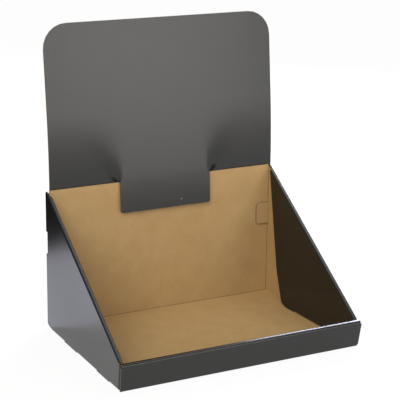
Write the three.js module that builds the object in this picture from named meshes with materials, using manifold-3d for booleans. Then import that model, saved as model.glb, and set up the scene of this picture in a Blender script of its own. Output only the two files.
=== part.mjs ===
// A counter display box in two pieces of corrugated board, printed black on one face: a tray folded
// from one die-cut sheet, and a header card that is slotted down over the tray's back panel.

import * as THREE from "three";
import { mergeVertices } from "three/addons/utils/BufferGeometryUtils.js";
import Module from "manifold-3d";

const wasm = await Module();
wasm.setup();

// Millimetres. The front faces -Y, +X is the viewer's right and +Z is up.
// The origin is on the ground, under the middle of the base.

// Board
const board = 1.6;                // thickness of the corrugated board
const layerGap = 0.3;             // air between layers that lie against each other
const foldRadius = 2.6;           // outside of a fold
const foldStep = Math.PI / 8;     // one flat of a rounded fold or corner
const largeCorner = 15;           // corners with a larger radius than this are drawn three times finer

// Tray
const width = 310;                // outside of one side wall to outside of the other
const depth = 215;                // outside of the back panel to the foot of the front lip
const backHeight = 173;
const floorCorner = 5;            // bevel of the side walls at their bottom rear corner, upwards
const floorCornerRun = 12;        // and forwards

// Front lip, a double wall that leans outwards
const lipHeight = 32.5;
const lipLean = 3.4;              // top of the lip forward of its foot
const lipRim = 6;                 // depth of its folded top
const lipFlare = 2;               // the right end stands out this far at the top
const lipCorner = 2.5;            // bevel of the lip's corners

// Side walls, double, with a folded sloping edge
const sideSetback = 3.5;          // front end of the sloping edge, behind the foot of the lip
const sideFrontHeight = 33.9;     // height of the sloping edge there
const rimRearOuter = 1;           // rear end of the sloping rim, from the back, at its outer crease
const rimRearInner = 8.5;         // and at its inner crease
const creaseStub = 8;             // how far a fold's section runs on past the fold

// Inner flaps, which hang from the sloping rim and lock in slots in the base
const leftSpring = 0;             // degrees that the left flap stands off its wall, seated in its slots
const rightSpring = 5;            // and the right one, which has sprung out of them
const flapSetback = 6.7;          // front end of the flap's foot, behind the foot of the lip
const flapBendFront = 44;         // bend in the flap's rear edge: its distance from the back
const flapBendHeight = 43.5;
const flapHeelFront = 60.5;       // foot of the rear edge
const flapHeelHeight = 6;
const flapClearance = 2;          // bottom of the flap above the floor
const rearSlotStart = 54;         // slots in the base, from the back
const rearSlotEnd = 91;
const frontSlotStart = 150;
const frontSlotEnd = 184;
const slotPlay = 1.5;             // how much longer a slot is than its tab, at each end
const toeStart = 71.5;            // the rear tab's heel is bevelled up to here
const seatedTabFoot = 0.4;        // foot of a tab that sits in its slot
const freeTabFoot = 1.7;          // foot of a tab that stands on the floor, before the flap swings in

// Tabs of the back panel, folded forwards into the side walls
const backTabLength = 70;
const backTabCorner = 12;

// Locking tabs of the side walls, through the rear corner creases
const lockBottom = 95;
const lockHeight = 28;
const lockReach = 22;             // from the wall's outside
const lockCorner = 5;

// Front tabs of the side walls, inside the lip
const frontTabReach = 34;
const frontTabCorner = 8;

// Header card
const headerWidth = 304;
const headerShift = 2.6;          // it sits off centre, towards the right
const headerRise = 197;           // from the back panel's top edge, along the card
const headerLean = 6;             // degrees
const headerCorner = 30;
const headerBend = 90;            // height over which the card curves from upright to its lean
const tongueWidth = 123;
const tongueShift = -0.6;         // from the card's middle
const tongueLength = 38.5;
const tongueCorner = 3;
const tongueCurl = 10;            // the tongue starts to turn upright this far above the back panel
const tongueFootLean = 2.5;       // degrees
const wingLength = 40;
const slitWidth = 2;
const slitFlare = 11;             // the crossing of tongue and wings soon widens by this above the slit
const slitFlareRise = 2.5;
const slitSpread = 0.9;           // and then by this for each millimetre
const bendRows = 9;               // rows of facets over the bend
const cardCell = 40;              // longest facet of the card

// Worked out from the sizes above
const halfWidth = width / 2;
const halfDepth = depth / 2;
const wallOuterFace = halfWidth;
const backTabFace = wallOuterFace - board - layerGap;
const sideRim = 3 * board + 2 * layerGap;
const flapFace = wallOuterFace - sideRim;
const backInnerFace = halfDepth - board;
const rimEnd = -halfDepth + sideSetback;
const slopeAngle = Math.atan2(backHeight - sideFrontHeight, halfDepth - rimEnd);
const slopeAlong = new THREE.Vector3(0, -Math.cos(slopeAngle), -Math.sin(slopeAngle));
const slopeUp = new THREE.Vector3(0, -Math.sin(slopeAngle), Math.cos(slopeAngle));
const leanAngle = Math.atan2(lipLean, lipHeight);
const leanSlope = Math.tan(leanAngle);
const frontTabFace = -halfDepth + board / Math.cos(leanAngle) + layerGap;
const slots = [[rearSlotStart, rearSlotEnd], [frontSlotStart, frontSlotEnd]];
const axisX = new THREE.Vector3(1, 0, 0);
const axisY = new THREE.Vector3(0, 1, 0);
const axisZ = new THREE.Vector3(0, 0, 1);

// Height of a line parallel to the sloping edge, a given distance below it
function slopeHeight(y, below = 0) {
  return backHeight - (halfDepth - y) * Math.tan(slopeAngle) - below / Math.cos(slopeAngle);
}

// Points round a corner of a path. The face radius differs from the radius on the far face of a sheet.
function cornerArc(before, corner, after, radius, faceRadius = radius) {
  const inward = corner.clone().sub(before).normalize();
  const outward = after.clone().sub(corner).normalize();
  const turn = Math.atan2(inward.cross(outward), inward.dot(outward));
  const reach = radius * Math.tan(Math.abs(turn) / 2);
  const normal = new THREE.Vector2(-inward.y, inward.x).multiplyScalar(Math.sign(turn));
  const centre = corner.clone().addScaledVector(inward, -reach).addScaledVector(normal, radius);
  const step = radius > largeCorner ? foldStep / 3 : foldStep;
  const steps = Math.max(1, Math.round(Math.abs(turn) / step));
  const points = [];
  for (let k = 0; k <= steps; k += 1) {
    const spoke = normal.clone().multiplyScalar(-faceRadius);
    spoke.rotateAround(new THREE.Vector2(), (turn * k) / steps);
    points.push(centre.clone().add(spoke));
  }
  return points;
}

// A closed outline from corners [u, v, radius]
function outline(corners) {
  const points = corners.map(([u, v]) => new THREE.Vector2(u, v));
  const edge = corners.flatMap(([, , radius], i) => {
    if (!radius) return [points[i]];
    return cornerArc(points.at(i - 1), points[i], points[(i + 1) % points.length], radius);
  });
  return new THREE.Shape(edge);
}

// A section through folded board. Its printed face follows the path, and the board is on the path's left.
function foldedSection(path) {
  const points = path.map(([u, v]) => new THREE.Vector2(u, v));
  const last = points.length - 1;
  const printed = [];
  const plain = [];
  points.forEach((point, i) => {
    if (i > 0 && i < last) {
      printed.push(...cornerArc(points[i - 1], point, points[i + 1], foldRadius));
      plain.push(...cornerArc(points[i - 1], point, points[i + 1], foldRadius, foldRadius - board));
      return;
    }
    const run = points[Math.min(i + 1, last)].clone().sub(points[Math.max(i - 1, 0)]).normalize();
    printed.push(point);
    plain.push(new THREE.Vector2(point.x - run.y * board, point.y + run.x * board));
  });
  return new THREE.Shape([...printed, ...plain.reverse()]);
}

// A shape pushed out along the third axis, from an origin
function extruded(shape, length, u, v, w, origin = new THREE.Vector3()) {
  const geometry = new THREE.ExtrudeGeometry(shape, { depth: length, bevelEnabled: false });
  return geometry.applyMatrix4(new THREE.Matrix4().makeBasis(u, v, w).setPosition(origin));
}

// Outlines drawn from above, from the side and from the front
function fromAbove(shape, low, high) {
  return extruded(shape, high - low, axisX, axisY, axisZ, new THREE.Vector3(0, 0, low));
}

function fromSide(shape, low, high) {
  return extruded(shape, high - low, axisY, axisZ, axisX, new THREE.Vector3(low, 0, 0));
}

function fromFront(shape, low, high) {
  return extruded(shape, high - low, axisX, axisZ, axisY.clone().negate(), new THREE.Vector3(0, high, 0));
}

function block(x0, x1, y0, y1, z0, z1) {
  const geometry = new THREE.BoxGeometry(x1 - x0, y1 - y0, z1 - z0);
  return geometry.translate((x0 + x1) / 2, (y0 + y1) / 2, (z0 + z1) / 2);
}

// A mirror image in the plane between left and right, with its faces still pointing out
function mirrored(geometry) {
  const bare = mergeVertices(stripped(geometry));
  bare.scale(-1, 1, 1);
  const index = bare.index.array;
  for (let i = 0; i < index.length; i += 3) {
    [index[i], index[i + 1]] = [index[i + 1], index[i]];
  }
  return bare;
}

function stripped(geometry) {
  const bare = geometry.clone();
  bare.deleteAttribute("normal");
  bare.deleteAttribute("uv");
  return bare;
}

function solid(geometry) {
  const merged = mergeVertices(stripped(geometry));
  const vertProperties = new Float32Array(merged.attributes.position.array);
  const triVerts = new Uint32Array(merged.index.array);
  return new wasm.Manifold(new wasm.Mesh({ numProp: 3, vertProperties, triVerts }));
}

function joined(solids) {
  return solids.reduce((whole, piece) => whole.add(piece));
}

function meshOf(name, body, colour) {
  const { vertProperties, triVerts } = body.getMesh();
  const geometry = new THREE.BufferGeometry();
  geometry.setAttribute("position", new THREE.BufferAttribute(vertProperties, 3));
  geometry.setIndex(new THREE.BufferAttribute(triVerts, 1));
  geometry.computeVertexNormals();
  const material = new THREE.MeshStandardMaterial({ color: colour, roughness: 0.45, metalness: 0 });
  const mesh = new THREE.Mesh(geometry, material);
  mesh.name = name;
  return mesh;
}

// Floor and back panel, folded from one strip
function floorAndBack() {
  const reach = backTabFace - foldRadius;
  const section = foldedSection([[-halfDepth + creaseStub, 0], [halfDepth, 0], [halfDepth, backHeight]]);
  return solid(fromSide(section, -reach, reach));
}

// The lip's outer panel and rim run the full width, and its lining fits between the side walls.
function lip() {
  const up = new THREE.Vector2(-Math.sin(leanAngle), Math.cos(leanAngle));
  const back = new THREE.Vector2(Math.cos(leanAngle), Math.sin(leanAngle));
  const top = new THREE.Vector2(-halfDepth - lipLean, lipHeight);
  const rimRear = top.clone().addScaledVector(back, lipRim);
  const stub = rimRear.clone().addScaledVector(up, -creaseStub);
  const foot = rimRear.clone().addScaledVector(up, -(rimRear.y - board - layerGap) / up.y);
  const rimMiddle = rimRear.clone().addScaledVector(back, -lipRim / 2);
  const heel = new THREE.Vector2(-halfDepth, 0);
  const shell = foldedSection([stub, rimRear, top, heel, heel.clone().setX(heel.x + 2 * creaseStub)]);
  const lining = foldedSection([foot, rimRear, rimMiddle]);
  const right = halfWidth + lipFlare;
  const silhouette = outline([
    [-halfWidth, -board],
    [halfWidth, -board],
    [halfWidth, lipCorner],
    [right, lipHeight - lipCorner],
    [right - lipCorner, lipHeight + lipCorner],
    [-halfWidth + lipCorner, lipHeight + lipCorner],
    [-halfWidth, lipHeight - lipCorner],
  ]);
  const front = -halfDepth - 2 * lipLean;
  const rear = -halfDepth + 3 * creaseStub;
  const foldEdge = halfWidth - foldRadius;
  const clearance = [
    block(foldEdge, halfWidth + lipFlare, front, rear, -board, foldRadius),
    block(-halfWidth - board, -foldEdge, front, rear, -board, foldRadius),
  ];
  const cut = solid(fromSide(shell, -halfWidth, right)).intersect(solid(fromFront(silhouette, front, rear)));
  const trimmed = clearance.reduce((whole, piece) => whole.subtract(solid(piece)), cut);
  const liningReach = halfWidth - board - layerGap;
  return trimmed.add(solid(fromSide(lining, -liningReach, liningReach)));
}

// One outer side wall with its folds to the base and to the front tab, drawn for the right-hand side
function outerWall(place) {
  const inner = wallOuterFace - board;
  const plate = outline([
    [rimEnd, slopeHeight(rimEnd, foldRadius)],
    [rimEnd, creaseStub],
    [rimEnd + foldRadius, foldRadius],
    [halfDepth - floorCornerRun, foldRadius],
    [halfDepth - floorCornerRun * (1 - foldRadius / floorCorner), foldRadius],
    [halfDepth, floorCorner],
    [halfDepth, lockBottom - layerGap],
    [backInnerFace - layerGap - foldRadius, lockBottom - layerGap],
    [backInnerFace - layerGap - foldRadius, lockBottom + lockHeight + layerGap],
    [halfDepth, lockBottom + lockHeight + layerGap],
    [halfDepth, slopeHeight(halfDepth, foldRadius + board)],
    [halfDepth - board, slopeHeight(halfDepth - board, foldRadius)],
  ]);
  const crease = foldedSection([[flapFace - 3 * creaseStub, 0], [wallOuterFace, 0],
    [wallOuterFace, creaseStub]]);
  const lugs = slots.map(([start, end]) => block(inner, wallOuterFace,
    halfDepth - end, halfDepth - start, board / 4, creaseStub));
  const openings = slots.map(([start, end]) => block(flapFace - layerGap * 2, wallOuterFace + board,
    halfDepth - end, halfDepth - start, -board, foldRadius + layerGap));
  const foot = openings.reduce((whole, opening) => whole.subtract(solid(place(opening))),
    solid(place(fromFront(crease, frontTabFace + foldRadius, halfDepth - floorCornerRun))));
  return joined([solid(place(fromSide(plate, inner, wallOuterFace))), foot,
    ...lugs.map((lug) => solid(place(lug)))]);
}

// The floor is open over the slots as well, where its own strip crosses them.
function floorSlots(place) {
  return slots.map(([start, end]) => solid(place(block(flapFace - layerGap * 2, wallOuterFace - board,
    halfDepth - end, halfDepth - start, -board, board + layerGap))));
}

// The side wall's front tab turns into the lip and leans with it.
function frontTab(place) {
  const low = board + 4 * layerGap;
  const high = lipHeight - board - 2 * layerGap;
  const section = foldedSection([[wallOuterFace - frontTabReach, frontTabFace],
    [wallOuterFace, frontTabFace], [wallOuterFace, rimEnd + 2 * creaseStub]]);
  const lean = new THREE.Vector3(0, -leanSlope, 1);
  const origin = new THREE.Vector3(0, -leanSlope * low, low);
  const tab = extruded(section, high - low, axisX, axisY, lean, origin);
  const silhouette = outline([
    [wallOuterFace - frontTabReach, low - board, frontTabCorner],
    [wallOuterFace + board, low - board],
    [wallOuterFace + board, high + board],
    [wallOuterFace - frontTabReach, high + board, frontTabCorner],
  ]);
  return solid(place(tab)).intersect(solid(place(fromFront(silhouette, -depth, depth))));
}

// The side wall's locking tab turns in through the corner crease and lies on the back panel.
function lockTab(place) {
  const face = backInnerFace - layerGap;
  const section = foldedSection([[wallOuterFace, face - 3 * creaseStub], [wallOuterFace, face],
    [wallOuterFace - lockReach, face]]);
  const silhouette = outline([
    [wallOuterFace - lockReach, lockBottom, lockCorner],
    [wallOuterFace + board, lockBottom],
    [wallOuterFace + board, lockBottom + lockHeight],
    [wallOuterFace - lockReach, lockBottom + lockHeight, lockCorner],
  ]);
  const tab = fromAbove(section, lockBottom, lockBottom + lockHeight);
  return solid(place(tab)).intersect(solid(place(fromFront(silhouette, 0, depth))));
}

// The back panel's tab lies inside the side wall, behind the inner flap.
function backTab(place) {
  const section = foldedSection([[backTabFace, halfDepth - backTabLength], [backTabFace, halfDepth],
    [backTabFace - 4 * creaseStub, halfDepth]]);
  const low = board + layerGap;
  const below = board + 3 * layerGap;
  const front = halfDepth - backTabLength;
  const rear = halfDepth + board;
  const silhouette = outline([
    [front, low, backTabCorner],
    [rear, low],
    [rear, slopeHeight(rear, below)],
    [front, slopeHeight(front, below), backTabCorner],
  ]);
  const corner = foldRadius + layerGap;
  const slot = block(backTabFace - corner, wallOuterFace, backInnerFace - layerGap - foldRadius, rear,
    lockBottom - layerGap, lockBottom + lockHeight + layerGap);
  const tab = solid(place(fromAbove(section, 0, backHeight)));
  const outlineSolid = solid(place(fromSide(silhouette, 0, wallOuterFace)));
  return tab.intersect(outlineSolid).subtract(solid(place(slot)));
}

// The sloping rim with its two folds, and the inner flap that hangs from it
function rimAndFlap(place, springDegrees, tabFoot) {
  const spring = THREE.MathUtils.degToRad(springDegrees);
  const hang = creaseStub / Math.cos(spring);
  const section = foldedSection([
    [wallOuterFace, -creaseStub],
    [wallOuterFace, 0],
    [flapFace, 0],
    [flapFace - hang * Math.sin(spring), -hang * Math.cos(spring)],
  ]);
  const slopeTop = new THREE.Vector3(0, halfDepth, backHeight);
  const start = slopeTop.clone().addScaledVector(slopeAlong, -creaseStub);
  const rim = extruded(section, 2 * depth, axisX, slopeUp, slopeAlong, start);
  const plan = outline([
    [wallOuterFace + board, rimEnd],
    [wallOuterFace + board, halfDepth - rimRearOuter],
    [wallOuterFace, halfDepth - rimRearOuter],
    [flapFace, halfDepth - rimRearInner],
    [0, halfDepth - rimRearInner],
    [0, rimEnd],
  ]);
  const hung = foldRadius + layerGap;
  const bottom = board + flapClearance;
  const rearTop = halfDepth - rimRearInner;
  const flapOutline = outline([
    [rimEnd, slopeHeight(rimEnd, hung)],
    [-halfDepth + flapSetback, bottom],
    [halfDepth - frontSlotEnd + slotPlay, bottom],
    [halfDepth - frontSlotEnd + 2 * slotPlay, tabFoot],
    [halfDepth - frontSlotStart - 2 * slotPlay, tabFoot],
    [halfDepth - frontSlotStart - slotPlay, bottom],
    [halfDepth - rearSlotEnd + slotPlay, bottom],
    [halfDepth - rearSlotEnd + slotPlay, tabFoot],
    [halfDepth - toeStart, tabFoot],
    [halfDepth - flapHeelFront, flapHeelHeight],
    [halfDepth - flapBendFront, flapBendHeight],
    [rearTop, slopeHeight(rearTop, hung)],
  ]);
  const flap = fromSide(flapOutline, flapFace, flapFace + board);
  const crease = new THREE.Vector3(flapFace, halfDepth, backHeight);
  flap.translate(-crease.x, -crease.y, -crease.z);
  flap.applyMatrix4(new THREE.Matrix4().makeRotationAxis(slopeAlong, -spring));
  flap.translate(crease.x, crease.y, crease.z);
  const rimSolid = solid(place(rim)).intersect(solid(place(fromAbove(plan, 0, 2 * backHeight))));
  return rimSolid.add(solid(place(flap)));
}

function tray() {
  const sides = [
    { place: (geometry) => geometry, spring: rightSpring, tabFoot: freeTabFoot },
    { place: mirrored, spring: leftSpring, tabFoot: seatedTabFoot },
  ];
  let body = floorAndBack().add(lip());
  sides.forEach(({ place }) => {
    body = floorSlots(place).reduce((whole, slot) => whole.subtract(slot), body.add(backTab(place)));
  });
  sides.forEach(({ place, spring, tabFoot }) => {
    const wall = [outerWall(place), frontTab(place), lockTab(place), rimAndFlap(place, spring, tabFoot)];
    body = joined([body, ...wall]);
  });
  return body;
}

// Values spread evenly between stops, each step no longer than the spacing given for its stretch
function spread(stops, spacing) {
  return stops.slice(1).reduce((values, stop) => {
    const from = values.at(-1);
    const count = Math.max(1, Math.ceil((stop - from) / spacing));
    for (let k = 1; k <= count; k += 1) values.push(from + ((stop - from) * k) / count);
    return values;
  }, [stops[0]]);
}

// How far a point has gone from one side of a crossing to the other, from 0 to 1 with eased ends
function eased(value) {
  const t = THREE.MathUtils.clamp(value, 0, 1);
  return t * t * (3 - 2 * t);
}

function crossingWidth(rise) {
  const above = Math.max(0, rise);
  return slitWidth + above * slitSpread + slitFlare * (1 - Math.exp(-above / slitFlareRise));
}

// The card's front face. Its wings pass behind the back panel, and its tongue passes in front.
function headerFace(x, z) {
  const slope = Math.tan(THREE.MathUtils.degToRad(headerLean));
  const rise = z - backHeight - layerGap;
  const wingFace = halfDepth + layerGap;
  const bent = THREE.MathUtils.clamp(rise, 0, headerBend);
  const wing = wingFace + slope * ((bent * bent) / (2 * headerBend) + Math.max(0, rise - headerBend));
  const plane = wingFace + slope * (rise - headerBend / 2);
  const turned = slope - Math.tan(THREE.MathUtils.degToRad(tongueFootLean));
  const curl = Math.max(0, tongueCurl - rise);
  const tongue = plane + (turned * curl * curl) / (2 * (tongueCurl + tongueLength));
  const crossing = crossingWidth(rise);
  const middle = headerShift + tongueShift;
  const beyond = Math.abs(x - middle) - tongueWidth / 2;
  return THREE.MathUtils.lerp(wing, tongue, eased(0.75 + (slitWidth / 4 - beyond) / crossing));
}

function headerCard() {
  const left = headerShift - headerWidth / 2;
  const right = headerShift + headerWidth / 2;
  const seat = backHeight + layerGap;
  const top = seat + headerRise * Math.cos(THREE.MathUtils.degToRad(headerLean));
  const bottom = seat - Math.max(tongueLength, wingLength);
  const tongueLeft = headerShift + tongueShift - tongueWidth / 2;
  const tongueRight = tongueLeft + tongueWidth;
  const steps = Array.from({ length: bendRows + 1 }, (_, k) => headerBend * (k / bendRows) ** 1.5);
  const besideSlit = steps.map((step) => (crossingWidth(step) - slitWidth) / 2);
  const acrossSlit = (low) => [...besideSlit.map((step) => low - step).reverse(),
    ...besideSlit.map((step) => low + slitWidth + step)];
  const columns = spread([left, ...acrossSlit(tongueLeft - slitWidth), ...acrossSlit(tongueRight), right],
    cardCell);
  const rows = spread([bottom, ...steps.map((step) => seat + step), top], cardCell);
  const slab = new THREE.BoxGeometry(1, 1, 1, columns.length - 1, 1, rows.length - 1);
  const position = slab.attributes.position;
  for (let i = 0; i < position.count; i += 1) {
    const x = columns[Math.round((position.getX(i) + 0.5) * (columns.length - 1))];
    const z = rows[Math.round((position.getZ(i) + 0.5) * (rows.length - 1))];
    const behind = position.getY(i) > 0 ? board : 0;
    position.setXYZ(i, x, headerFace(x, z) + behind, z);
  }
  const card = outline([
    [left, seat - wingLength, tongueCorner],
    [tongueLeft - slitWidth, seat - wingLength, tongueCorner],
    [tongueLeft - slitWidth, seat],
    [tongueLeft, seat],
    [tongueLeft, seat - tongueLength, tongueCorner],
    [tongueRight, seat - tongueLength, tongueCorner],
    [tongueRight, seat],
    [tongueRight + slitWidth, seat],
    [tongueRight + slitWidth, seat - wingLength, tongueCorner],
    [right, seat - wingLength, tongueCorner],
    [right, top, headerCorner],
    [left, top, headerCorner],
  ]);
  return solid(slab).intersect(solid(fromFront(card, 0, depth)));
}

const group = new THREE.Group();
group.add(meshOf("tray", tray(), 0x3c3b38));
group.add(meshOf("header_card", headerCard(), 0x4a4a46));

export default group;
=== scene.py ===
# A counter display box of black-printed corrugated board: a tray folded from one die-cut sheet,
# and a header card that is slotted down over the tray's back panel.
# Metres, +Z up. The open front faces -Y.

import math
import bmesh
import bpy
from mathutils import Matrix, Vector


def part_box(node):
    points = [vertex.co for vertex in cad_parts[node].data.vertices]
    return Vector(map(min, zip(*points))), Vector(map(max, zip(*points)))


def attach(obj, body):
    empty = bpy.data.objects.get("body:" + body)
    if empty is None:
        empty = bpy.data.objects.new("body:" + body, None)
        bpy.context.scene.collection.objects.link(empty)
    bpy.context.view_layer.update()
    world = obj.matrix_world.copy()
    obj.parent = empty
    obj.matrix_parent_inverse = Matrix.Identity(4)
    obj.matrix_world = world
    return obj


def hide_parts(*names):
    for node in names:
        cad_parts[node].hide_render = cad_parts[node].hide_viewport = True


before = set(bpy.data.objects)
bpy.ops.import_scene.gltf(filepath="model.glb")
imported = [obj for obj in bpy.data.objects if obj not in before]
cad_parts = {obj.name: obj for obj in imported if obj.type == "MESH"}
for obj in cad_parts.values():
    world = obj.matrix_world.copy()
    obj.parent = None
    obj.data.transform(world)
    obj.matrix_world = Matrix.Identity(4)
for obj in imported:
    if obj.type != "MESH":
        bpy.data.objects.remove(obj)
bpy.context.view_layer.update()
trayLow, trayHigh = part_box("tray")
cardLow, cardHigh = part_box("header_card")

mm = 0.001
axisX = Vector((1, 0, 0))
axisY = Vector((0, 1, 0))
axisZ = Vector((0, 0, 1))

board = {
    "thickness": 1.6 * mm,
    "gap": 0.3 * mm,           # air between layers that lie against each other
    "fold": 2.6 * mm,          # outside radius of a crease that is folded once
    "tightFold": 1.9 * mm,     # and of the two creases of a folded rim, which are pressed closer
    "foldSteps": 6,
    "flutePitch": 3.3 * mm,    # one wave of the corrugated middle layer
    "cell": 9 * mm,            # spacing of the grid that lets a panel bow
    "inkedEdge": 4 * mm,       # ink has run over the cuts this near the front corners
    "smoothBelow": math.radians(40),
    "samePoint": 0.01 * mm,    # points nearer than this are taken as one
    "weld": 0.02 * mm,         # and these are joined
    "cutSlack": 0.001 * mm,
}
printFace, linerFace, edgeFace = range(3)    # places of the three materials on a piece of board


# Bmesh helpers

def panel(bm, corners):
    verts = [bm.verts.new(corner) for corner in corners]
    return bm.faces.new(verts)


def roundCorners(bm, face, wanted, radius):
    near = board["samePoint"]
    verts = [v for v in face.verts if any((v.co - place).length < near for place in wanted)]
    bmesh.ops.bevel(bm, geom=verts, offset=radius, offset_type="OFFSET", segments=board["foldSteps"],
                    profile=0.5, affect="VERTICES", material=-1)


def roll(bm, start, end, centre, axis, angle, steps=board["foldSteps"]):
    # a crease: the line from start to end is spun round the middle of the fold
    before = set(bm.verts)
    verts = [bm.verts.new(start), bm.verts.new(end)]
    edge = bm.edges.new(verts)
    bmesh.ops.spin(bm, geom=[*verts, edge], cent=centre, axis=axis, angle=angle, steps=steps)
    # the liner is drawn darker by this along the middle of each fold: painted crease shade
    creaseShade = bm.verts.layers.float.get("creaseShade") or bm.verts.layers.float.new("creaseShade")
    middle = (start + end) / 2 - centre
    middle -= axis * middle.dot(axis)
    for vert in set(bm.verts) - before:
        spoke = vert.co - centre
        spoke -= axis * spoke.dot(axis)
        turned = middle.angle(spoke) / abs(angle)
        vert[creaseShade] = math.sin(math.pi * turned)


def cutGrid(bm, axis, low, high, spacing):
    count = max(1, round((high - low) / spacing))
    for k in range(1, count):
        place = axis * (low + (high - low) * k / count)
        geometry = [*bm.verts, *bm.edges, *bm.faces]
        bmesh.ops.bisect_plane(bm, geom=geometry, dist=board["cutSlack"], plane_co=place, plane_no=axis)


def eased(value):
    t = max(0.0, min(1.0, value))
    return t * t * (3 - 2 * t)


def faceOutwards(bm, reference, direction):
    # the sheet is open, so after the normals agree one known panel says which side is printed
    bmesh.ops.remove_doubles(bm, verts=bm.verts, dist=board["weld"])
    bmesh.ops.recalc_face_normals(bm, faces=bm.faces)
    bm.faces.ensure_lookup_table()
    nearest = min(bm.faces, key=lambda face: (face.calc_center_median() - reference).length)
    if nearest.normal.dot(direction) < 0:
        bmesh.ops.reverse_faces(bm, faces=bm.faces)


def drawFluteMap(bm, sideways):
    # the flat sheet's own map in metres: u runs across the flutes and v along them
    layer = bm.loops.layers.uv.new("blank")
    for face in bm.faces:
        turned = sideways and abs(face.normal.x) > 0.7
        for loop in face.loops:
            x, y, z = loop.vert.co
            loop[layer].uv = (z, y) if turned else (x, y + z)


def boardFrom(bm, name, materials):
    # thickness goes on the unprinted side, and the cut edge gets a map of its own
    mesh = bpy.data.meshes.new(name)
    bm.to_mesh(mesh)
    bm.free()
    piece = bpy.data.objects.new(name, mesh)
    bpy.context.scene.collection.objects.link(piece)
    for material in materials:
        mesh.materials.append(material)
    shell = piece.vertex_groups.new(name="liner")
    solidify = piece.modifiers.new("board", "SOLIDIFY")
    solidify.thickness = board["thickness"]
    solidify.offset = -1
    solidify.use_even_offset = True
    solidify.use_quality_normals = True
    solidify.material_offset = linerFace
    solidify.material_offset_rim = edgeFace
    solidify.shell_vertex_group = shell.name
    applied = bpy.data.meshes.new_from_object(piece.evaluated_get(bpy.context.evaluated_depsgraph_get()))
    piece.modifiers.clear()
    piece.data = applied
    bpy.data.meshes.remove(mesh)
    drawEdgeMap(applied, shell.index)
    piece.vertex_groups.clear()
    applied.name = name
    applied.shade_smooth()
    applied.set_sharp_from_angle(angle=board["smoothBelow"])
    weighted = piece.modifiers.new("flat panels", "WEIGHTED_NORMAL")
    weighted.keep_sharp = True
    return piece


def drawEdgeMap(mesh, shellGroup):
    # on a cut edge u still runs across the flutes, and v goes from the print to the liner
    bm = bmesh.new()
    bm.from_mesh(mesh)
    layer = bm.loops.layers.uv["blank"]
    deform = bm.verts.layers.deform.verify()
    for face in bm.faces:
        if face.material_index != edgeFace:
            continue
        middle = face.calc_center_median()
        if middle.y < front + board["inkedEdge"] and abs(middle.x) > halfWidth - thick:
            face.material_index = printFace
            continue
        for loop in face.loops:
            inner = shellGroup in loop.vert[deform]
            loop[layer].uv = (loop[layer].uv.x, 1.0 if inner else 0.0)
    bm.to_mesh(mesh)
    bm.free()


# Materials

def linear(hexColour):
    channels = [int(hexColour[i:i + 2], 16) / 255 for i in (1, 3, 5)]
    return [*(c / 12.92 if c <= 0.04045 else ((c + 0.055) / 1.055) ** 2.4 for c in channels), 1]


def addNode(tree, kind, settings, links=()):
    node = tree.nodes.new(kind)
    for key, value in settings.items():
        if isinstance(key, int) or key in node.inputs:
            node.inputs[key].default_value = value
        else:
            setattr(node, key, value)
    for key, source in links:
        tree.links.new(source, node.inputs[key])
    return node


def newMaterial(name):
    material = bpy.data.materials.new(name)
    material.use_nodes = True
    material.node_tree.nodes.clear()
    return material, material.node_tree


def fluteHeight(tree, sheetMap):
    # 1 over the crests of the flutes and 0 between them
    across = addNode(tree, "ShaderNodeSeparateXYZ", {}, [(0, sheetMap)])
    turn = addNode(tree, "ShaderNodeMath", {"operation": "MULTIPLY", 1: math.tau / board["flutePitch"]},
                   [(0, across.outputs["X"])])
    wave = addNode(tree, "ShaderNodeMath", {"operation": "SINE"}, [(0, turn.outputs[0])])
    return addNode(tree, "ShaderNodeMath", {"operation": "MULTIPLY_ADD", 1: 0.5, 2: 0.5},
                   [(0, wave.outputs[0])]).outputs[0]


cloudSpan = (0.3, 0.7)         # nearly all of a noise pattern lies between these

printFinish = {
    "ink": "#171615",
    "worn": "#1c1b1a",         # where the ink lies thinner on the liner
    "mottle": 14 * mm,         # size of the clouds in the solid ink
    "roughness": (0.255, 0.27),
    "ior": 1.48,
    "fluteRelief": 0.012 * mm,
    "grain": 1.4 * mm,         # board grain is finer, and this is as coarse as it needs to show
    "grainRelief": 0.003 * mm,
    "markCore": 0.4,           # a mark fades over this share of its radii, and is full inside
    "marks": [
        # a nick near the foot of the card's tongue, and two faint scuffs on its face
        {"place": (23.1 * mm, 101 * mm, 143.5 * mm), "radii": (0.9 * mm, 3 * mm, 0.9 * mm),
         "colour": "#a39c90", "share": 1.0},
        {"place": (-77 * mm, 118 * mm, 300 * mm), "radii": (3 * mm, 40 * mm, 7 * mm),
         "colour": "#0c0807", "share": 0.9},
        {"place": (-14 * mm, 118 * mm, 323 * mm), "radii": (3 * mm, 40 * mm, 4 * mm),
         "colour": "#0c0807", "share": 0.7},
    ],
}


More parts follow.
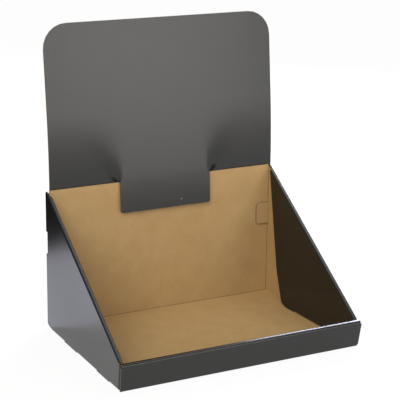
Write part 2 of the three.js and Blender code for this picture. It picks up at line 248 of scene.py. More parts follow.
def varnishedPrint():
    # Black ink on kraft board under a satin varnish: nearly black, with broad soft reflections.
    finish = printFinish
    material, tree = newMaterial("satin varnished black print")
    sheet = addNode(tree, "ShaderNodeUVMap", {"uv_map": "blank"}).outputs["UV"]
    place = addNode(tree, "ShaderNodeTexCoord", {}).outputs["Object"]
    clouds = addNode(tree, "ShaderNodeTexNoise", {"Scale": 1 / finish["mottle"], "Detail": 2.0},
                     [("Vector", place)])
    colour = addNode(tree, "ShaderNodeMix", {"data_type": "RGBA", 6: linear(finish["ink"]),
                                             7: linear(finish["worn"])}, [(0, clouds.outputs["Fac"])])
    for mark in finish["marks"]:
        stretch = [1 / radius for radius in mark["radii"]]
        middle = [-value * scale for value, scale in zip(mark["place"], stretch)]
        around = addNode(tree, "ShaderNodeMapping", {"Location": middle, "Scale": stretch},
                         [("Vector", place)])
        ball = addNode(tree, "ShaderNodeTexGradient", {"gradient_type": "SPHERICAL"},
                       [("Vector", around.outputs[0])])
        cover = addNode(tree, "ShaderNodeMapRange", {"From Max": finish["markCore"],
                                                     "To Max": mark["share"]}, [("Value", ball.outputs["Fac"])])
        colour = addNode(tree, "ShaderNodeMix", {"data_type": "RGBA", 7: linear(mark["colour"])},
                         [(0, cover.outputs[0]), (6, colour.outputs[2])])
    least, most = finish["roughness"]
    low, high = cloudSpan
    rough = addNode(tree, "ShaderNodeMapRange", {"From Min": low, "From Max": high, "To Min": least,
                                                 "To Max": most}, [("Value", clouds.outputs["Fac"])])
    grain = addNode(tree, "ShaderNodeTexNoise", {"Scale": 1 / finish["grain"], "Detail": 3.0},
                    [("Vector", place)])
    washboard = addNode(tree, "ShaderNodeBump", {"Distance": finish["fluteRelief"], "Strength": 1.0},
                        [("Height", fluteHeight(tree, sheet))])
    relief = addNode(tree, "ShaderNodeBump", {"Distance": finish["grainRelief"], "Strength": 1.0},
                     [("Height", grain.outputs["Fac"]), ("Normal", washboard.outputs["Normal"])])
    shader = addNode(tree, "ShaderNodeBsdfPrincipled", {"IOR": finish["ior"]},
                     [("Base Color", colour.outputs[2]), ("Roughness", rough.outputs[0]),
                      ("Normal", relief.outputs["Normal"])])
    addNode(tree, "ShaderNodeOutputMaterial", {}, [("Surface", shader.outputs[0])])
    return material


linerFinish = {
    "light": "#b39567",
    "dark": "#a28354",
    "fleck": "#7d6038",
    "mottle": 22 * mm,
    "fibreLength": 5 * mm,     # drawn longer and wider than real fibres, so that they show
    "fibreWidth": 0.7 * mm,
    "toneSpan": (0.5, 1.0),    # of the clouds and fibres together, from dark to light
    "fleckScale": 2.2,         # flecks are smaller than the fibres by this
    "fleckSpan": (0.7, 0.78),
    "fleckShare": 0.35,
    "fluteShade": 0.035,       # the crests press the liner a little darker
    "fluteRelief": 0.02 * mm,
    "fibreRelief": 0.02 * mm,
    "creaseShade": "#6c512b",      # painted crease shade: drawn along the middle of each fold, for the shade in the crease and the crushed fibres there
    "creaseShadeShare": 0.9,
    "roughness": 0.78,
}


def kraftLiner():
    # Unprinted kraft paper: matt warm brown, with fibres that lie across the flutes.
    finish = linerFinish
    material, tree = newMaterial("bare kraft liner")
    sheet = addNode(tree, "ShaderNodeUVMap", {"uv_map": "blank"}).outputs["UV"]
    place = addNode(tree, "ShaderNodeTexCoord", {}).outputs["Object"]
    clouds = addNode(tree, "ShaderNodeTexNoise", {"Scale": 1 / finish["mottle"], "Detail": 4.0},
                     [("Vector", place)])
    stretched = addNode(tree, "ShaderNodeMapping", {
        "Scale": (1 / finish["fibreLength"], 1 / finish["fibreWidth"], 1)}, [("Vector", sheet)])
    fibres = addNode(tree, "ShaderNodeTexNoise", {"Scale": 1.0, "Detail": 6.0, "Roughness": 0.65},
                     [("Vector", stretched.outputs[0])])
    tone = addNode(tree, "ShaderNodeMath", {"operation": "MULTIPLY_ADD", 1: 0.5},
                   [(0, clouds.outputs["Fac"]), (2, fibres.outputs["Fac"])])
    darkest, lightest = finish["toneSpan"]
    spread = addNode(tree, "ShaderNodeMapRange", {"From Min": darkest, "From Max": lightest},
                     [("Value", tone.outputs[0])])
    paper = addNode(tree, "ShaderNodeMix", {"data_type": "RGBA", 6: linear(finish["dark"]),
                                            7: linear(finish["light"])}, [(0, spread.outputs[0])])
    specks = addNode(tree, "ShaderNodeTexNoise", {"Scale": finish["fleckScale"], "Detail": 2.0},
                     [("Vector", stretched.outputs[0])])
    low, high = finish["fleckSpan"]
    speckShare = addNode(tree, "ShaderNodeMapRange", {"From Min": low, "From Max": high,
                                                      "To Max": finish["fleckShare"]},
                         [("Value", specks.outputs["Fac"])])
    flecked = addNode(tree, "ShaderNodeMix", {"data_type": "RGBA", 7: linear(finish["fleck"])},
                      [(0, speckShare.outputs[0]), (6, paper.outputs[2])])
    flutes = fluteHeight(tree, sheet)
    shade = addNode(tree, "ShaderNodeMath", {"operation": "MULTIPLY", 1: finish["fluteShade"]}, [(0, flutes)])
    pressed = addNode(tree, "ShaderNodeMix", {"data_type": "RGBA", 7: linear(finish["fleck"])},
                      [(0, shade.outputs[0]), (6, flecked.outputs[2])])
    # painted crease shade: the liner darkens towards the crease colour along the folds
    creaseMask = addNode(tree, "ShaderNodeAttribute", {"attribute_name": "creaseShade"})
    foldShare = addNode(tree, "ShaderNodeMath", {"operation": "MULTIPLY", 1: finish["creaseShadeShare"]},
                        [(0, creaseMask.outputs["Fac"])])
    creaseShaded = addNode(tree, "ShaderNodeMix", {"data_type": "RGBA", 7: linear(finish["creaseShade"])},
                      [(0, foldShare.outputs[0]), (6, pressed.outputs[2])])
    washboard = addNode(tree, "ShaderNodeBump", {"Distance": finish["fluteRelief"], "Strength": 1.0},
                        [("Height", flutes)])
    relief = addNode(tree, "ShaderNodeBump", {"Distance": finish["fibreRelief"], "Strength": 1.0},
                     [("Height", fibres.outputs["Fac"]), ("Normal", washboard.outputs["Normal"])])
    shader = addNode(tree, "ShaderNodeBsdfPrincipled", {"Roughness": finish["roughness"], "IOR": 1.45},
                     [("Base Color", creaseShaded.outputs[2]), ("Normal", relief.outputs["Normal"])])
    addNode(tree, "ShaderNodeOutputMaterial", {}, [("Surface", shader.outputs[0])])
    return material


edgeFinish = {
    # the edge colours are drawn darker than bare board: the ink on the cut and painted shade
    "liner": "#6b5436",
    "medium": "#5a452b",       # the corrugated middle layer
    "hollow": "#2a2016",       # painted shade inside the open flutes between the liners
    "linerShare": 0.16,        # of the board's thickness
    "mediumShare": 0.17,
    "blur": 0.03,              # the liners fade into the hollow over this share
    "roughness": 0.9,
}


def cutEdge():
    # A die-cut edge of single-wall board: two liners with the fluted middle layer between them,
    # darkened by the ink that has run over the cut and by painted shade, with painted shade in the open flutes.
    finish = edgeFinish
    material, tree = newMaterial("die-cut board edge")
    sheet = addNode(tree, "ShaderNodeUVMap", {"uv_map": "blank"}).outputs["UV"]
    through = addNode(tree, "ShaderNodeSeparateXYZ", {}, [(0, sheet)]).outputs["Y"]
    flutes = fluteHeight(tree, sheet)
    crest = addNode(tree, "ShaderNodeMath", {"operation": "MULTIPLY_ADD", 1: 1 - 2 * finish["linerShare"],
                                             2: finish["linerShare"]}, [(0, flutes)])
    offset = addNode(tree, "ShaderNodeMath", {"operation": "SUBTRACT"}, [(0, through), (1, crest.outputs[0])])
    away = addNode(tree, "ShaderNodeMath", {"operation": "ABSOLUTE"}, [(0, offset.outputs[0])])
    onMedium = addNode(tree, "ShaderNodeMapRange", {"From Min": finish["mediumShare"] * 1.5,
                                                    "From Max": finish["mediumShare"]},
                       [("Value", away.outputs[0])])
    fromMiddle = addNode(tree, "ShaderNodeMath", {"operation": "SUBTRACT", 1: 0.5}, [(0, through)])
    toSide = addNode(tree, "ShaderNodeMath", {"operation": "ABSOLUTE"}, [(0, fromMiddle.outputs[0])])
    linerStart = 0.5 - finish["linerShare"]
    onLiner = addNode(tree, "ShaderNodeMapRange", {"From Min": linerStart - finish["blur"],
                                                   "From Max": linerStart}, [("Value", toSide.outputs[0])])
    # painted shade in the open flutes, between the liners and the middle layer
    inside = addNode(tree, "ShaderNodeMix", {"data_type": "RGBA", 6: linear(finish["hollow"]),
                                             7: linear(finish["medium"])}, [(0, onMedium.outputs[0])])
    colour = addNode(tree, "ShaderNodeMix", {"data_type": "RGBA", 7: linear(finish["liner"])},
                     [(0, onLiner.outputs[0]), (6, inside.outputs[2])])
    shader = addNode(tree, "ShaderNodeBsdfPrincipled", {"Roughness": finish["roughness"], "IOR": 1.45},
                     [("Base Color", colour.outputs[2])])
    addNode(tree, "ShaderNodeOutputMaterial", {}, [("Surface", shader.outputs[0])])
    return material


boardMaterials = [varnishedPrint(), kraftLiner(), cutEdge()]
print("materials ready")


# Tray

tray = {
    "lipHeight": 32.5 * mm,
    "lipLean": 3.4 * mm,           # top of the lip forward of its foot
    "lipRim": 6 * mm,
    "lipCorner": 3 * mm,
    "lipFootCorner": 1.5 * mm,     # at the right end only
    "sideSetback": 3.5 * mm,       # front end of the sloping edge, behind the foot of the lip
    "sideFrontHeight": 33.9 * mm,
    "rimRearOuter": 1 * mm,        # rear ends of the sloping rim's two creases, from the back
    "rimRearInner": 8.5 * mm,
    "floorCorner": 5 * mm,         # bevel of a side wall's bottom rear corner, upwards
    "floorCornerRun": 12 * mm,     # and forwards
    "slots": [(54 * mm, 91 * mm), (150 * mm, 184 * mm)],   # in the floor, from the back
    "slotWidth": 3.4 * mm,
    "lug": 0.4 * mm,               # bottom of the side walls over the slots
    "flapSetback": 6.7 * mm,       # front end of the flap's foot, behind the foot of the lip
    "flapBend": (44 * mm, 43.5 * mm),     # bend in the flap's rear edge: from the back, and height
    "flapHeel": (60.5 * mm, 6 * mm),
    "flapBottom": 3.6 * mm,
    "flapNose": 1 * mm,            # upright stretch at the front end of the flap's crease
    "slotPlay": 1.5 * mm,
    "toeStart": 71.5 * mm,
    "backTabLength": 70 * mm,
    "backTabCorner": 12 * mm,
    "lockTab": (95 * mm, 123 * mm),       # bottom and top
    "lockReach": 22 * mm,
    "lockCorner": 5 * mm,
    "lockPlay": 0.05 * mm,
    "frontTab": (2.8 * mm, 30.3 * mm),    # bottom and top
    "frontTabReach": 34 * mm,
    "frontTabFold": 4.6 * mm,      # this fold is rolled loosely
    "frontTabCorner": 8 * mm,
    "sides": [
        {"mirror": 1, "spring": 5.0, "tabFoot": 1.7 * mm},     # right flap, sprung out of its slots
        {"mirror": -1, "spring": 0.0, "tabFoot": 0.4 * mm},    # left flap, seated
    ],
    "wallBow": 0.7 * mm,
    "wallBowReach": 20 * mm,       # inwards from the flaps, so that all layers of a wall bow together
    "backBow": 1.3 * mm,
    "backBowEdge": 30 * mm,        # it falls back to the corner crease over this width
}

halfWidth = -trayLow.x
lipFlare = trayHigh.x - halfWidth
rear = trayHigh.y
front = -rear
backHeight = trayHigh.z
thick = board["thickness"]
fold = board["fold"]
tight = board["tightFold"]
rearInside = rear - thick
tabFace = halfWidth - thick - board["gap"]
flapFace = halfWidth - 3 * thick - 2 * board["gap"]
rimFront = front + tray["sideSetback"]
slope = math.atan2(backHeight - tray["sideFrontHeight"], rear - rimFront)
slopeLength = (rear - rimFront) / math.cos(slope)
slopeAlong = Vector((0, -math.cos(slope), -math.sin(slope)))
lean = math.atan2(tray["lipLean"], tray["lipHeight"])
lipUp = Vector((0, -math.sin(lean), math.cos(lean)))
lipBack = Vector((0, math.cos(lean), math.sin(lean)))


def onSlope(x, along, up):
    # along is measured down the sloping edge from the back, and up is square to it
    return Vector((x, rear - along * math.cos(slope) - up * math.sin(slope),
                   backHeight - along * math.sin(slope) + up * math.cos(slope)))


def slopeHeight(y, below):
    return backHeight - (rear - y) * math.tan(slope) - below / math.cos(slope)


def alongAt(y, up):
    return (rear - y - up * math.sin(slope)) / math.cos(slope)


def onLip(x, up, back):
    return Vector((x, front, 0)) + lipUp * up + lipBack * back


def creaseRuns():
    # stretches of the crease between floor and side wall, from the back, between the slots
    starts = [tray["floorCornerRun"], *[end for _, end in tray["slots"]]]
    frontEnd = rear - (frontTabCorner(0).y + lipBack.y * tray["frontTabFold"])
    ends = [*[start for start, _ in tray["slots"]], frontEnd]
    return [(rear - start, rear - end) for start, end in zip(starts, ends)]


def frontTabCorner(up):
    # sharp corner between side wall and front tab, inside the lip
    foot = Vector((halfWidth, front + thick / math.cos(lean) + board["gap"], 0))
    return foot + lipUp * up


def addFloor(bm):
    inner = halfWidth - fold
    corner = tabFace - fold
    frontLine = front + tight * math.tan((math.pi / 2 - lean) / 2)
    slotEdge = inner - tray["slotWidth"]
    closing = thick / 4      # this near the faces above it, the floor's rear corner closes the gap
    right = [Vector((corner, rear - fold, 0)), Vector((corner, rear - closing, 0)),
             Vector((tabFace - closing, rear - fold, 0)), Vector((inner, rear - fold, 0))]
    runs = creaseRuns()
    for (start, end), following in zip(runs, [*runs[1:], None]):
        right += [Vector((inner, start, 0)), Vector((inner, end, 0))]
        if following:
            right += [Vector((slotEdge, end, 0)), Vector((slotEdge, following[0], 0))]
    right.append(Vector((inner, frontLine, 0)))
    left = [Vector((-p.x, p.y, 0)) for p in reversed(right)]
    panel(bm, right + left)


def addBack(bm):
    edge = tabFace - fold
    low, high = tray["lockTab"]
    notch = tray["lockPlay"]
    right = [(edge, fold), (edge, low - notch), (edge - notch, low - notch),
             (edge - notch, high + notch), (edge, high + notch), (edge, backTabTop(rear)), (edge, backHeight)]
    corners = [Vector((x, rear, z)) for x, z in right]
    corners += [Vector((-x, rear, z)) for x, z in reversed(right)]
    panel(bm, corners)
    roll(bm, Vector((-edge, rear - fold, 0)), Vector((edge, rear - fold, 0)),
         Vector((0, rear - fold, fold)), axisX, math.pi / 2)


def backTabTop(y):
    return slopeHeight(y, thick + 3 * board["gap"])


def addLip(bm):
    turn = math.pi / 2 - lean
    bottom = tight * math.tan(turn / 2)
    height = tray["lipHeight"] / math.cos(lean)
    corner = tray["lipCorner"]
    depth = tray["lipRim"]
    right = halfWidth + lipFlare
    start = Vector((-halfWidth, front + bottom, 0))
    rightFoot = halfWidth - tray["lipFootCorner"]
    roll(bm, start, Vector((rightFoot, start.y, 0)), Vector((0, start.y, tight)), axisX, -turn)
    ends = [(right - corner / 2, height - fold), (-halfWidth + corner / 2, height - fold)]
    shape = [(-halfWidth, bottom), (rightFoot, bottom), (halfWidth, bottom + tray["lipFootCorner"]),
             (right, height - corner), *ends, (-halfWidth, height - corner)]
    panel(bm, [onLip(x, up, 0) for x, up in shape])
    rimEnds = [ends[1][0], -tabFace, tabFace, ends[0][0]]
    for low, high in zip(rimEnds, rimEnds[1:]):
        roll(bm, onLip(low, height - fold, 0), onLip(high, height - fold, 0),
             onLip(0, height - fold, fold), axisX, -math.pi / 2)
        panel(bm, [onLip(low, height, fold), onLip(high, height, fold),
                   onLip(high, height, depth - tight), onLip(low, height, depth - tight)])
    roll(bm, onLip(-tabFace, height, depth - tight), onLip(tabFace, height, depth - tight),
         onLip(0, height - tight, depth - tight), axisX, -math.pi / 2)
    foot = (thick + board["gap"] - depth * math.sin(lean)) / math.cos(lean)
    panel(bm, [onLip(-tabFace, height - tight, depth), onLip(tabFace, height - tight, depth),
               onLip(tabFace, foot, depth), onLip(-tabFace, foot, depth)])


def addOuterWall(bm):
    inner = halfWidth - fold
    lockLow, lockHigh = tray["lockTab"]
    lockLine = rearInside - board["gap"] - fold
    gap = tray["lockPlay"]
    tabLow, tabHigh = [z / math.cos(lean) for z in tray["frontTab"]]
    outline = [(rear, tray["floorCorner"]),
               (rear - tray["floorCornerRun"] * (1 - fold / tray["floorCorner"]), fold)]
    for start, end in creaseRuns():
        outline += [(start, fold), (end, fold)]
        roll(bm, Vector((inner, start, 0)), Vector((inner, end, 0)), Vector((inner, 0, fold)),
             axisY, -math.pi / 2)
    for start, end in reversed(tray["slots"]):
        place = outline.index((rear - start, fold)) + 1
        outline[place:place] = [(rear - start, tray["lug"]), (rear - end, tray["lug"])]
    foldLine = [frontTabCorner(up) + lipBack * tray["frontTabFold"] for up in (tabLow, tabHigh)]
    outline += [(p.y, p.z) for p in foldLine]
    outline.append((rimFront, foldLine[1].z))
    top = [onSlope(0, slopeLength, -tight), onSlope(0, alongAt(rear - tray["rimRearOuter"], 0), -tight)]
    outline += [(p.y, p.z) for p in top]
    outline += [(rear, slopeHeight(rear, tight) - thick), (rear, lockHigh + gap), (lockLine, lockHigh + gap),
                (lockLine, lockHigh), (lockLine, lockLow), (lockLine, lockLow - gap), (rear, lockLow - gap)]
    panel(bm, [Vector((halfWidth, y, z)) for y, z in outline])


def addFrontTab(bm):
    low, high = [z / math.cos(lean) for z in tray["frontTab"]]
    roundness = tray["frontTabFold"]
    inner = halfWidth - roundness
    reach = halfWidth - tray["frontTabReach"]
    centre = frontTabCorner(0) + lipBack * roundness - axisX * roundness
    roll(bm, frontTabCorner(low) + lipBack * roundness, frontTabCorner(high) + lipBack * roundness, centre,
         lipUp, -math.pi / 2)
    corners = [frontTabCorner(up) + axisX * (x - halfWidth)
               for x, up in ((inner, low), (inner, high), (reach, high), (reach, low))]
    tab = panel(bm, corners)
    roundCorners(bm, tab, corners[2:], tray["frontTabCorner"])


def addLockTab(bm):
    low, high = tray["lockTab"]
    face = rearInside - board["gap"]
    inner = halfWidth - fold
    roll(bm, Vector((halfWidth, face - fold, low)), Vector((halfWidth, face - fold, high)),
         Vector((inner, face - fold, 0)), axisZ, math.pi / 2)
    end = halfWidth - tray["lockReach"]
    corners = [Vector((x, face, z)) for x, z in ((inner, low), (inner, high), (end, high), (end, low))]
    tab = panel(bm, corners)
    roundCorners(bm, tab, corners[2:], tray["lockCorner"])


def addBackTab(bm):
    low, high = tray["lockTab"]
    gap = tray["lockPlay"]
    edge = rear - fold
    notch = rearInside - board["gap"] - fold
    end = rear - tray["backTabLength"]
    bottom = thick + board["gap"]
    shape = [(edge, bottom), (edge, fold), (edge, low - gap), (notch, low - gap), (notch, high + gap),
             (edge, high + gap), (edge, backTabTop(rear)), (end, backTabTop(end)), (end, bottom)]
    corners = [Vector((tabFace, y, z)) for y, z in shape]
    tab = panel(bm, corners)
    roundCorners(bm, tab, corners[7:9], tray["backTabCorner"])
    for start, stop in ((bottom, fold), (fold, low - gap), (high + gap, backTabTop(rear))):
        roll(bm, Vector((tabFace - fold, rear, start)), Vector((tabFace - fold, rear, stop)),
             Vector((tabFace - fold, rear - fold, 0)), axisZ, -math.pi / 2)


def addRimAndFlap(bm, spring, tabFoot):
    turn = math.pi / 2 - spring
    reach = tight * math.tan(turn / 2)
    first = slopeLength
    outerLast = alongAt(rear - tray["rimRearOuter"], 0)
    innerLast = alongAt(rear - tray["rimRearInner"], 0)
    roll(bm, onSlope(halfWidth, first, -tight), onSlope(halfWidth, outerLast, -tight),
         onSlope(halfWidth - tight, 0, -tight), slopeAlong, math.pi / 2)
    panel(bm, [onSlope(halfWidth - tight, first, 0), onSlope(halfWidth - tight, outerLast, 0),
               onSlope(flapFace + reach, innerLast, 0), onSlope(flapFace + reach, first, 0)])
    roll(bm, onSlope(flapFace + reach, first, 0), onSlope(flapFace + reach, innerLast, 0),
         onSlope(flapFace + reach, 0, -tight), slopeAlong, turn)
    play = tray["slotPlay"]
    bottom = tray["flapBottom"]
    (_, rearSlotEnd), (frontSlot, frontSlotEnd) = tray["slots"]
    fromBack = [
        (frontSlotEnd - play, bottom),
        (frontSlotEnd - 2 * play, tabFoot),
        (frontSlot + 2 * play, tabFoot),
        (frontSlot + play, bottom),
        (rearSlotEnd - play, bottom),
        (rearSlotEnd - play, tabFoot),
        (tray["toeStart"], tabFoot),
        tray["flapHeel"],
        tray["flapBend"],
    ]
    frontTop = onSlope(flapFace, first, -reach)
    rearTop = onSlope(flapFace, innerLast, -reach)
    corners = [frontTop, Vector((flapFace, rimFront, frontTop.z - tray["flapNose"])),
               Vector((flapFace, front + tray["flapSetback"], bottom))]
    corners += [Vector((flapFace, rear - back, height)) for back, height in fromBack]
    corners.append(rearTop)
    flap = panel(bm, corners)
    bmesh.ops.rotate(bm, verts=flap.verts, cent=onSlope(flapFace, 0, 0),
                     matrix=Matrix.Rotation(-spring, 3, slopeAlong))


def bowPanels(bm):
    # board never lies quite flat: the side walls and the back panel are drawn in a little
    for vert in bm.verts:
        x, y, z = vert.co
        level = max(0.0, min(1.0, z / slopeHeight(y, 0)))
        length = max(0.0, min(1.0, (y - rimFront) / (rear - rimFront)))
        if abs(x) > flapFace - tray["wallBowReach"] and y < rear - 3 * fold:
            hollow = math.sin(math.pi * level) * math.sin(math.pi * length)
            vert.co.x -= math.copysign(tray["wallBow"] * hollow, x)
        if y > rearInside - 2 * fold and abs(x) < tabFace - fold:
            fromCrease = tabFace - fold - abs(x)
            hollow = math.sin(math.pi * z / backHeight) * eased(fromCrease / tray["backBowEdge"])
            vert.co.y -= tray["backBow"] * hollow


def makeTray():
    bm = bmesh.new()
    addFloor(bm)
    addBack(bm)
    addLip(bm)
    for side in tray["sides"]:
        before = set(bm.verts)
        addOuterWall(bm)
        addFrontTab(bm)
        addLockTab(bm)
        addBackTab(bm)
        addRimAndFlap(bm, math.radians(side["spring"]), side["tabFoot"])
        added = [vert for vert in bm.verts if vert not in before]
        bmesh.ops.scale(bm, vec=(side["mirror"], 1, 1), verts=added)
    faceOutwards(bm, Vector((0, 0, 0)), -axisZ)
    cutGrid(bm, axisX, trayLow.x, trayHigh.x, board["cell"])
    cutGrid(bm, axisY, trayLow.y, trayHigh.y, board["cell"])
    cutGrid(bm, axisZ, trayLow.z, trayHigh.z, board["cell"])
    bowPanels(bm)
    drawFluteMap(bm, sideways=True)
    return boardFrom(bm, "folded_tray", boardMaterials)


trayPiece = makeTray()
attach(trayPiece, "root")
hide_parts("tray")
print("tray folded:", len(trayPiece.data.polygons), "faces")


# Header card

card = {
    "shift": (cardLow.x + cardHigh.x) / 2,
    "corner": 30 * mm,
    "lean": math.radians(6.0),
    "bend": 90 * mm,               # height over which the card curves from upright to its lean
    "curlTop": 10 * mm,            # the tongue starts to turn upright this far above the back panel
    "footLean": math.radians(2.5),
    "tongueWidth": 123 * mm,
    "tongueShift": -0.6 * mm,      # from the card's middle
    "tongueLength": 38.5 * mm,
    "tongueCorner": 3 * mm,
    "wingLength": 40 * mm,         # below the back panel's top edge, behind it
    "slitWidth": 2 * mm,
    "slitFlare": 11 * mm,          # the crossing soon widens by this above the slit,
    "slitFlareRise": 2.5 * mm,
    "slitSpread": 0.9,             # and then by this for each unit of height
    "crossingInside": 0.25,        # share of the crossing on the tongue's side of its edge
    "cell": 6 * mm,
    "fineCell": 1.5 * mm,          # near the slits
    "fineReach": 18 * mm,
}

seat = backHeight + board["gap"]
tongueMiddle = card["shift"] + card["tongueShift"]
tongueHalf = card["tongueWidth"] / 2


def cardFace(x, z):
    # front face of the card: its wings pass behind the back panel and its tongue in front of it
    rise = z - seat
    bend = card["bend"]
    steep = math.tan(card["lean"])
    wingFace = rear + board["gap"]
    bent = max(0.0, min(bend, rise))
    wing = wingFace + steep * (bent * bent / (2 * bend) + max(0.0, rise - bend))
    plane = wingFace + steep * (rise - bend / 2)
    curl = max(0.0, card["curlTop"] - rise)
    turned = steep - math.tan(card["footLean"])
    tongue = plane + turned * curl * curl / (2 * (card["curlTop"] + card["tongueLength"]))
    above = max(0.0, rise)
    flare = card["slitFlare"] * (1 - math.exp(-above / card["slitFlareRise"]))
    crossing = card["slitWidth"] + above * card["slitSpread"] + flare
    beyond = abs(x - tongueMiddle) - tongueHalf
    inside = card["crossingInside"]
    share = eased(1 - inside + (card["slitWidth"] * inside - beyond) / crossing)
    return wing + (tongue - wing) * share


def makeCard():
    bm = bmesh.new()
    left = tongueMiddle - tongueHalf
    right = tongueMiddle + tongueHalf
    slit = card["slitWidth"]
    foot = seat - card["tongueLength"]
    wingFoot = seat - card["wingLength"]
    shape = [(cardLow.x, wingFoot), (left - slit, wingFoot), (left - slit, seat), (left, seat), (left, foot),
             (right, foot), (right, seat), (right + slit, seat), (right + slit, wingFoot),
             (cardHigh.x, wingFoot), (cardHigh.x, cardHigh.z), (cardLow.x, cardHigh.z)]
    corners = [Vector((x, 0, z)) for x, z in shape]
    roundCorners(bm, panel(bm, corners), corners[-2:], card["corner"])
    footCorners = [corner for corner, (x, z) in zip(corners, shape) if z in (foot, wingFoot)]
    bm.faces.ensure_lookup_table()
    roundCorners(bm, bm.faces[0], footCorners, card["tongueCorner"])
    cutGrid(bm, axisX, cardLow.x, cardHigh.x, card["cell"])
    cutGrid(bm, axisZ, cardLow.z, cardHigh.z, card["cell"])
    reach = card["fineReach"]
    for slitMiddle in (left - slit / 2, right + slit / 2):
        cutGrid(bm, axisX, slitMiddle - reach, slitMiddle + reach, card["fineCell"])
    cutGrid(bm, axisZ, seat - 2 * board["cell"], seat + card["bend"], 2 * card["fineCell"])
    for vert in bm.verts:
        vert.co.y = cardFace(vert.co.x, vert.co.z)
    faceOutwards(bm, Vector((tongueMiddle, cardHigh.y, cardHigh.z)), -axisY)
    drawFluteMap(bm, sideways=False)
    return boardFrom(bm, "slotted_header_card", boardMaterials)


cardPiece = makeCard()
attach(cardPiece, "root")
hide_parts("header_card")
print("header card cut and bent:", len(cardPiece.data.polygons), "faces")


# Stage

camera = {
    "place": (-0.72590, -1.37518, 0.62722),
    "azimuth": -27.70543,          # degrees
    "elevation": 16.33480,
    "roll": 0.84425,
    "lens": 124.358,
    "farthest": 50,
}


def addCamera():
    azimuth, elevation, tilt = [math.radians(camera[key]) for key in ("azimuth", "elevation", "roll")]
    back = Vector((math.sin(azimuth) * math.cos(elevation), -math.cos(azimuth) * math.cos(elevation),
                   math.sin(elevation)))
    level = axisZ.cross(back).normalized()
    up = back.cross(level)
    right = level * math.cos(tilt) + up * math.sin(tilt)
    up = up * math.cos(tilt) - level * math.sin(tilt)
    data = bpy.data.cameras.new("camera")
    data.lens = camera["lens"]
    data.clip_end = camera["farthest"]
    view = bpy.data.objects.new("camera", data)
    view.matrix_world = Matrix.Translation(camera["place"]) @ Matrix((right, up, back)).transposed().to_4x4()
    bpy.context.scene.collection.objects.link(view)
    bpy.context.scene.camera = view


target = Vector((0, 0, 0.12))    # the lamps point at the middle of the tray
lights = {
    "world": 0.45,
    "fill": {"kind": "SUN", "place": (-1.6, -1.6, 2.0), "spread": 40, "power": 2.1, "colour": "#fffaf2"},
    "front": {"kind": "AREA", "place": (1.08, -2.4, 0.48), "size": 1.0, "power": 13.5, "colour": "#fffdf8"},
    "window": {"kind": "AREA", "place": (1.05, 1.05, 0.7), "size": 0.8, "power": 42, "colour": "#e2e8ff"},
    "top": {"kind": "AREA", "place": (0.6, 0.1, 1.35), "size": 0.6, "power": 3, "colour": "#ffffff"},
}


def addLamp(name):
    spec = lights[name]
    data = bpy.data.lights.new(name, spec["kind"])
    if spec["kind"] == "SUN":
        data.angle = math.radians(spec["spread"])
    else:
        data.size = spec["size"]
    data.energy = spec["power"]
    data.color = linear(spec["colour"])[:3]
    lamp = bpy.data.objects.new(name, data)
    aim = target - Vector(spec["place"])
    lamp.matrix_world = Matrix.Translation(spec["place"]) @ aim.to_track_quat("-Z", "Y").to_matrix().to_4x4()
    bpy.context.scene.collection.objects.link(lamp)


def addWorld():
    world = bpy.data.worlds.new("studio")
    bpy.context.scene.world = world
    world.use_nodes = True
    tree = world.node_tree
    tree.nodes.clear()
    light = addNode(tree, "ShaderNodeBackground", {"Color": (1, 1, 1, 1), "Strength": lights["world"]})
    addNode(tree, "ShaderNodeOutputWorld", {}, [("Surface", light.outputs[0])])


sheets = {
    "studio_floor": {"place": (0, 0, 0), "size": (30, 30), "paint": "#f5f5f5", "light": "#ffffff",
                     "glow": 0.92, "strength": 1.0},
    # painted reflections, which only the glossy print sees: a black card behind the box, and a glowing stretch
    # of the table that stands in for the window-lit table
    "black_flag": {"place": (-0.75, 0.375, 0.45), "pitch": 90, "size": (2.15, 0.9), "paint": "#050505",
                   "light": "#ffffff", "glow": 0.0, "strength": 1.0},
    # painted reflection: this sheet glows for glossy rays only, as the table lit by the window
    "table_glow_reflection": {"place": (-0.405, 0.264, 0.001), "turn": 25, "size": (0.9, 0.5), "paint": "#efeffc",
                  "light": "#efeffc", "glow": 1.0, "strength": 1.75},
}


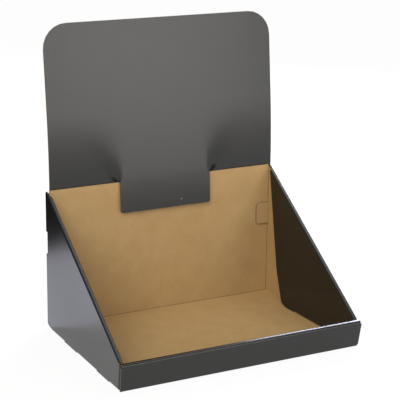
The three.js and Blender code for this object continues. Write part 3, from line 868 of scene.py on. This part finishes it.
def addStageSheet(name):
    # glow lifts the sheet to its light for the camera and in reflections, and adds none to the object
    spec = sheets[name]
    turned = Matrix.Rotation(math.radians(spec.get("turn", 0)), 4, "Z")
    pitched = Matrix.Rotation(math.radians(spec.get("pitch", 0)), 4, "X")
    matrix = Matrix.Translation(spec["place"]) @ turned @ pitched
    bm = bmesh.new()
    bmesh.ops.create_grid(bm, x_segments=1, y_segments=1, size=0.5,
                          matrix=matrix @ Matrix.Diagonal((*spec["size"], 1, 1)))
    mesh = bpy.data.meshes.new(name)
    bm.to_mesh(mesh)
    bm.free()
    sheet = bpy.data.objects.new(name, mesh)
    bpy.context.scene.collection.objects.link(sheet)
    material, tree = newMaterial(name)
    paint = addNode(tree, "ShaderNodeBsdfDiffuse", {"Color": linear(spec["paint"])})
    seen = addNode(tree, "ShaderNodeLightPath", {})
    mirrored = addNode(tree, "ShaderNodeMath", {"operation": "MAXIMUM"},
                       [(0, seen.outputs["Is Camera Ray"]), (1, seen.outputs["Is Glossy Ray"])])
    through = addNode(tree, "ShaderNodeMath", {"operation": "MAXIMUM"},
                      [(0, mirrored.outputs[0]), (1, seen.outputs["Is Transmission Ray"])])
    share = addNode(tree, "ShaderNodeMath", {"operation": "MULTIPLY", 1: spec["glow"]},
                    [(0, through.outputs[0])])
    light = addNode(tree, "ShaderNodeEmission", {"Color": linear(spec["light"]),
                                                 "Strength": spec["strength"]})
    mix = addNode(tree, "ShaderNodeMixShader", {},
                  [(0, share.outputs[0]), (1, paint.outputs[0]), (2, light.outputs[0])])
    addNode(tree, "ShaderNodeOutputMaterial", {}, [("Surface", mix.outputs[0])])
    mesh.materials.append(material)
    return sheet


def addReflectedSheet(name):
    # seen only in reflections: a painted reflection, which lights and shades nothing
    sheet = addStageSheet(name)
    sheet.visible_camera = False
    sheet.visible_diffuse = False
    sheet.visible_shadow = False


addCamera()
addWorld()
addStageSheet("studio_floor")
addReflectedSheet("black_flag")
addReflectedSheet("table_glow_reflection")
for lampName in ("fill", "front", "window", "top"):
    addLamp(lampName)
bpy.context.scene.view_settings.view_transform = "Standard"
print("stage set")
